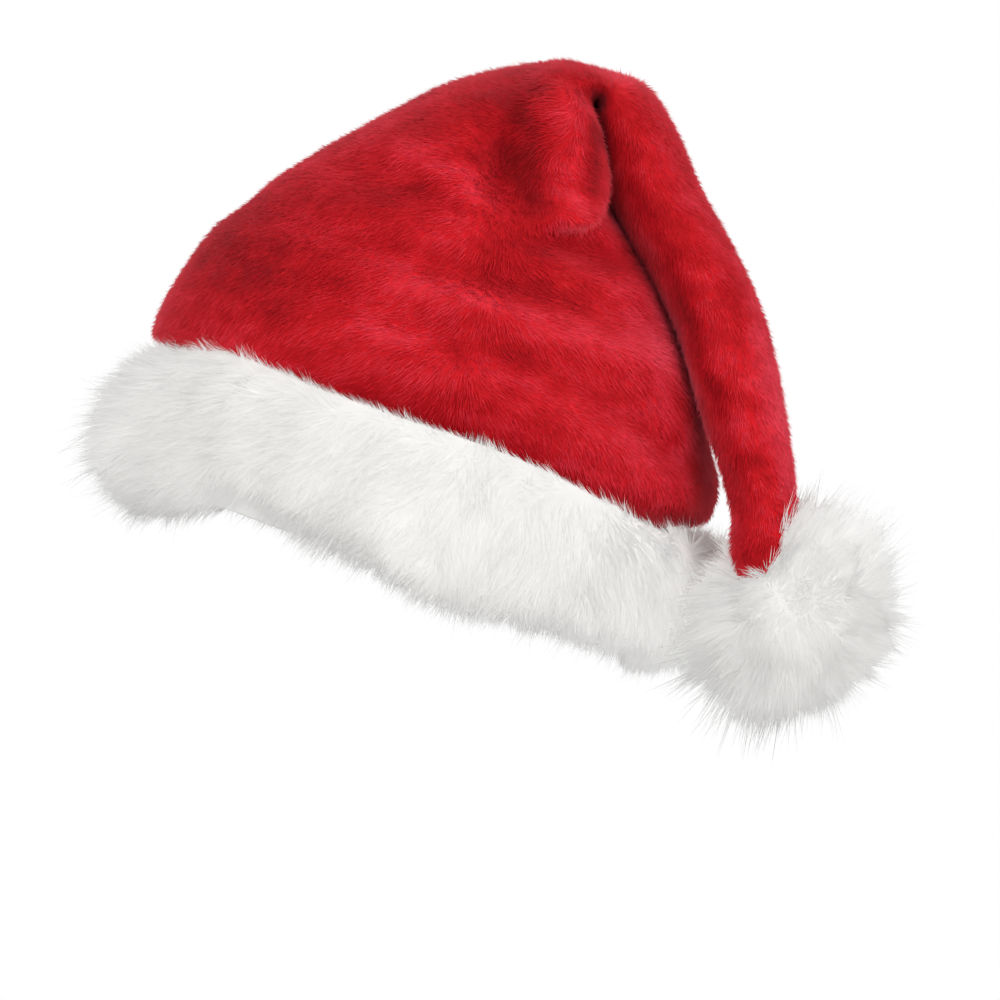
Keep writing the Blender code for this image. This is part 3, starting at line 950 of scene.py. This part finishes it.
@dataclass
class Brim:
    """The deep white fur band round the opening: its mass and its coats of strands."""

    sizes: CapSizes
    sides: int = 220
    steps: int = 4

    # out from the cloth in shares of the fur's depth, up in shares of the brim's height
    PROFILE = (
        (0.00, 0.110),
        (0.22, 0.110),
        (0.50, 0.140),
        (0.74, 0.230),
        (0.85, 0.370),
        (0.87, 0.540),
        (0.84, 0.740),
        (0.74, 0.900),
        (0.58, 0.970),
        (0.42, 0.930),
        (0.24, 0.850),
        (0.00, 0.800),
    )
    # the ways that the two corners with longer fur face
    LOW_LEFT = Vector((-0.80, 0, -0.60))
    TOP_RIGHT = Vector((0.90, 0, 0.44))
    # edge, around, spread in degrees, lift in shares of the brim's height: a wave of an edge
    WAVES = (
        (-1, 234, 13, 0.19),
        (-1, 260, 8, 0.07),
        (-1, 288, 9, -0.07),
        (-1, 346, 9, 0.12),
        (-1, 121, 17, 0.16),
        (-1, 203, 16, -0.13),
        (-1, 155, 16, -0.10),
        (-1, 279, 6, -0.05),
        (-1, 325, 26, 0.10),
        (-1, 35, 26, 0.10),
        (1, 180, 50, -0.16),
        (1, 0, 45, -0.12),
        (1, 208, 26, 0.13),
        (1, 318, 24, -0.05),
        (1, 285, 20, 0.02),
    )
    COATS = (
        Coat(
            "brim_undercoat", strands=0.44 / MM**2, length=14 * MM, spread=0.4, width=0.9 * MM,
            stand=0.10, stray=0.16, clump=5 * MM, pull=0.5, softness=1.0, seed=5
        ),
        Coat(
            "brim_fur", strands=0.46 / MM**2, length=17 * MM, spread=0.5, width=0.5 * MM, stand=0.26,
            stray=0.2, clump=4 * MM, pull=0.6, softness=1.0, seed=17
        ),
        Coat(
            "brim_wisps", strands=0.048 / MM**2, length=22 * MM, spread=0.5, width=0.45 * MM,
            stand=0.35, stray=0.18, clump=7 * MM, pull=0.9, softness=0.95, seed=29, droop=0.3,
            segments=2
        ),
    )

    def lift(self, turn: float, edge: int) -> float:
        """Adds up the waves of an edge.

        Args:
            turn: Where round the opening, in radians.
            edge: -1 for the lower edge and 1 for the upper one.

        Returns:
            How far that edge is lifted there.
        """
        total = 0.0
        for wave_edge, around, spread, rise in self.WAVES:
            if wave_edge == edge:
                away = (math.degrees(turn) - around + 180) % 360 - 180
                total += rise * self.sizes.brim_height * math.exp(-((away / spread) ** 2))
        return total

    def point(self, turn: float, out: float, up: float) -> Vector:
        """Places a point of the fur mass.

        Args:
            turn: Where round the opening, in radians.
            out: How far out from the cloth, in shares of the fur's depth.
            up: How high, in shares of the brim's height.

        Returns:
            The point.
        """
        size = self.sizes
        stand_off = size.cloth + size.seat_gap + out * size.brim_fur
        rise = self.lift(turn, -1) * max(0.0, 1 - 2 * up) * min(1.0, 3 * out)
        rise += self.lift(turn, 1) * max(0.0, 2 * up - 1)
        return Vector(
            (
                (size.head_width / 2 + stand_off) * math.cos(turn),
                (size.head_length / 2 + stand_off) * math.sin(turn),
                up * size.brim_height + rise,
            )
        )

    def outline(self) -> list[tuple[float, float]]:
        """Smooths the profile.

        Returns:
            Its points, as out and up.
        """
        points = [Vector((out, up, 0)) for out, up in self.PROFILE]
        made = []
        for place in range(len(points) - 1):
            near = [points[min(max(place + shift, 0), len(points) - 1)] for shift in (-1, 0, 1, 2)]
            for step in range(self.steps):
                at = curve_through(*near, step / self.steps)
                made.append((max(0.0, at.x), at.y))
        return [*made, (points[-1].x, points[-1].y)]

    def surface(self) -> bpy.types.Mesh:
        """Sweeps the profile round the opening and stores how the fur lies.

        Returns:
            The closed ring.
        """
        outline = self.outline()
        count = len(outline)
        points, faces, spots = [], [], []
        for side in range(self.sides):
            turn = 2 * math.pi * side / self.sides
            away = Vector((math.cos(turn), math.sin(turn), 0))
            for place, (out, up) in enumerate(outline):
                point = self.point(turn, out, up)
                lump = 1.6 * MM * noise.noise(point / 0.018) + 0.6 * MM * noise.noise(point / 0.006)
                points.append(WORN_LEAN @ (point + away * lump * min(1.0, 3 * out)))
                spots.append((out, up))
                along, there = (place + 1) % count, (side + 1) % self.sides
                low, high = side * count, there * count
                faces.append((low + place, high + place, high + along, low + along))
        mesh = mesh_of("brim_mass", points, faces)
        lay = Lay([], [], [], [])
        for vertex, (out, up) in zip(mesh.vertices, spots):
            lay.comb.append(self.comb_at(vertex.co, vertex.normal, up))
            lay.thick.append(1.0 if out > 0.2 else 0.0)
            edges = (1 - 0.55 * step_up(0.80, 0.95, up)) * (1 - 0.30 * step_up(0.45, 0.12, up))
            side = vertex.co.x
            corner = 1.3 * max(0.0, vertex.normal.dot(self.LOW_LEFT)) ** 2 * step_up(0.06, 0.10, -side)
            corner += max(0.0, vertex.normal.dot(self.TOP_RIGHT)) ** 2 * step_up(0.08, 0.12, side)
            lay.reach.append((1.0 + 0.35 * noise.noise(vertex.co / 0.014)) * edges * (1 + 0.5 * corner))
            lay.shade.append(0.5 + 0.35 * noise.noise(vertex.co / 0.020))
        lay.gather(points, count=620, length=17 * MM, pull=0.6, seed=4)
        lay.store(mesh)
        return mesh

    def comb_at(self, point: Vector, out: Vector, up: float) -> Vector:
        """Finds the way that the fur lies at a point: to the left at the left end, and else down.

        Args:
            point: The point, leaned as worn.
            out: The surface's outward way there.
            up: How high on the brim, in shares of its height.

        Returns:
            The way.
        """
        left = step_up(0.0, 0.12, -point.x)
        flow = Vector((-0.55 - 0.4 * left, 0, -0.65 + 0.3 * left))
        top = step_up(0.75, 1.0, up)
        flow += Vector((0, 0, 0.45)) * top
        flow -= out * min(0.0, flow.dot(out))
        astray = noise.noise_vector(point / 0.035) * (0.5 - 0.25 * top)
        return (flow * 0.8 + out * (0.36 - 0.16 * top) + astray).normalized()

    def build(self, pile: Pile, material: bpy.types.Material) -> None:
        """Builds the fur mass and its strands, with the pile and the fur given."""
        mass = grow_fur("brim", self.surface(), self.COATS, pile, material)


@dataclass
class Pompom:
    """The white fur ball on the tail's end: its mass and its coats of strands."""

    sizes: CapSizes
    mass: float = 32 * MM
    fur_shift: tuple[float, float, float] = (-3 * MM, 0.0, 6 * MM)

    # the ways that the ball's longest tufts point
    LOW_LEFT = Vector((-0.75, 0, -0.66))
    TOP_RIGHT = Vector((0.50, 0, 0.86))
    COATS = (
        Coat(
            "pompom_fur", strands=1.9 / MM**2, length=12 * MM, spread=0.45, width=0.55 * MM, stand=0.10,
            stray=0.14, clump=3 * MM, pull=0.4, softness=0.97, seed=41
        ),
        Coat(
            "pompom_wisps", strands=0.20 / MM**2, length=19 * MM, spread=0.45, width=0.5 * MM,
            stand=0.35, stray=0.14, clump=6 * MM, pull=0.9, softness=0.9, seed=43, droop=0.2, segments=2
        ),
    )

    def surface(self) -> bpy.types.Mesh:
        """Makes the ball and stores how its fur lies, in tufts.

        Returns:
            The closed ball.
        """
        centre = WORN_LEAN @ self.sizes.ball_centre() + Vector(self.fur_shift)
        entry = (WORN_LEAN @ Vector(self.sizes.tail_entry)).normalized()
        ball = bmesh.new()
        bmesh.ops.create_icosphere(ball, subdivisions=6, radius=1.0)
        points, lay = [], Lay([], [], [], [])
        for vertex in ball.verts:
            way = vertex.co.normalized()
            near = way.angle(entry)
            dent = 0.16 * step_up(math.radians(45), math.radians(20), near)
            points.append(centre + way * self.mass * (1 + 0.05 * noise.noise(way * 2.5) - dent))
            swirl = noise.noise_vector(way * 1.5) * 0.6
            parted = (way - entry * way.dot(entry)).normalized()
            parted *= step_up(math.radians(110), math.radians(40), near)
            lay.comb.append((way * 0.75 + swirl + parted * 0.8).normalized())
            lay.thick.append(step_up(math.radians(18), math.radians(32), near))
            longer = 0.80 * max(0.0, way.dot(self.LOW_LEFT)) ** 2
            longer += 0.40 * max(0.0, way.dot(self.TOP_RIGHT)) ** 3
            lay.reach.append(1.0 + 0.5 * noise.noise(way * 4) + longer)
            lay.shade.append(0.5 + 0.3 * noise.noise(way * 2))
        faces = [tuple(vertex.index for vertex in face.verts) for face in ball.faces]
        ball.free()
        lay.gather(points, count=260, length=14 * MM, pull=0.65, seed=9)
        mesh = mesh_of("pompom_mass", points, faces)
        lay.store(mesh)
        return mesh

    def build(self, pile: Pile, material: bpy.types.Material) -> None:
        """Builds the ball's mass and its strands, with the pile and the fur given."""
        mass = grow_fur("pompom", self.surface(), self.COATS, pile, material)


@dataclass
class Studio:
    """The floor, the light and the camera."""

    distance: float = 5.0
    frame_width: float = 0.400
    aim: tuple[float, float] = (0.0437, 0.0348)
    floor_drop: float = 0.65

    # name, place, width, power: a round soft lamp
    LAMPS = (
        ("key", (-1.0, -1.7, 1.6), 1.2, 11.5),
        ("low", (-0.6, -1.9, -0.1), 1.0, 4.0),
        ("fill", (1.4, -1.9, 0.10), 1.3, 17.0),
        ("top", (0.2, 0.5, 1.8), 1.4, 3.0),
    )

    def floor(self) -> None:
        """Lays a plain pale floor well under the cap, which is held up."""
        side = 12
        corners = [(-side, -side), (side, -side), (side, side), (-side, side)]
        mesh = mesh_of("floor", [Vector((x, y, -self.floor_drop)) for x, y in corners], [(0, 1, 2, 3)])
        pale = bpy.data.materials.new("pale floor")
        pale.use_nodes = True
        shader = pale.node_tree.nodes["Principled BSDF"]
        shader.inputs["Base Color"].default_value = linear("#f7f7f7")
        shader.inputs["Roughness"].default_value = 1.0
        shader.inputs["Emission Color"].default_value = linear("#ffffff")
        shader.inputs["Emission Strength"].default_value = 0.45
        floor = shown("floor", mesh, pale)
        floor.visible_diffuse = False
        floor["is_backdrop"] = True

    def light(self) -> None:
        """Sets a bright room and four large soft lamps, three in front and one above."""
        scene = bpy.context.scene
        scene.view_settings.view_transform = "Standard"
        world = bpy.data.worlds.new("studio")
        world.use_nodes = True
        scene.world = world
        tree = world.node_tree
        room = tree.nodes["Background"]
        room.inputs["Color"].default_value = (1, 1, 1, 1)
        room.inputs["Strength"].default_value = 0.92
        seen = add_node(tree, "ShaderNodeBackground", inputs={"Color": (1, 1, 1, 1), "Strength": 1.0})
        path = add_node(tree, "ShaderNodeLightPath")
        either = {0: path.outputs["Is Camera Ray"], 1: room.outputs[0], 2: seen.outputs[0]}
        mixed = add_node(tree, "ShaderNodeMixShader", inputs=either)
        tree.links.new(mixed.outputs[0], tree.nodes["World Output"].inputs["Surface"])
        for name, place, width, power in self.LAMPS:
            lamp = bpy.data.lights.new(name, "AREA")
            lamp.shape = "DISK"
            lamp.size = width
            lamp.energy = power
            light = bpy.data.objects.new(name, lamp)
            light.location = place
            ahead = Vector((self.aim[0], 0, self.aim[1])) - Vector(place)
            light.rotation_euler = ahead.to_track_quat("-Z", "Y").to_euler()
            scene.collection.objects.link(light)

    def camera(self) -> None:
        """Sets the level camera, as far off as a long lens stands."""
        lens = bpy.data.cameras.new("camera")
        lens.sensor_width = 36
        lens.lens = 36 * self.distance / self.frame_width
        lens.clip_end = 50
        camera = bpy.data.objects.new("camera", lens)
        camera.location = (self.aim[0], -self.distance, self.aim[1])
        camera.rotation_euler = (math.pi / 2, 0, 0)
        bpy.context.scene.collection.objects.link(camera)
        bpy.context.scene.camera = camera


def corners() -> list[list[float]]:
    """Measures the lowest and highest corner of what is shown."""
    return [[round(float(value), 5) for value in corner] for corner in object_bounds()]


def main() -> None:
    """Builds the scene."""
    logging.basicConfig(level=logging.INFO, format="%(name)s: %(message)s")
    noise.seed_set(NOISE_SEED)
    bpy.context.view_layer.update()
    sizes = CapSizes()
    pile = Pile()
    red, white = RED_PLUSH.make(), WHITE_FUR.make()
    Crown(sizes).build(pile, red)
    Brim(sizes).build(pile, white)
    Pompom(sizes).build(pile, white)
    studio = Studio()
    studio.floor()
    studio.light()
    studio.camera()


if __name__ == "__main__":
    main()
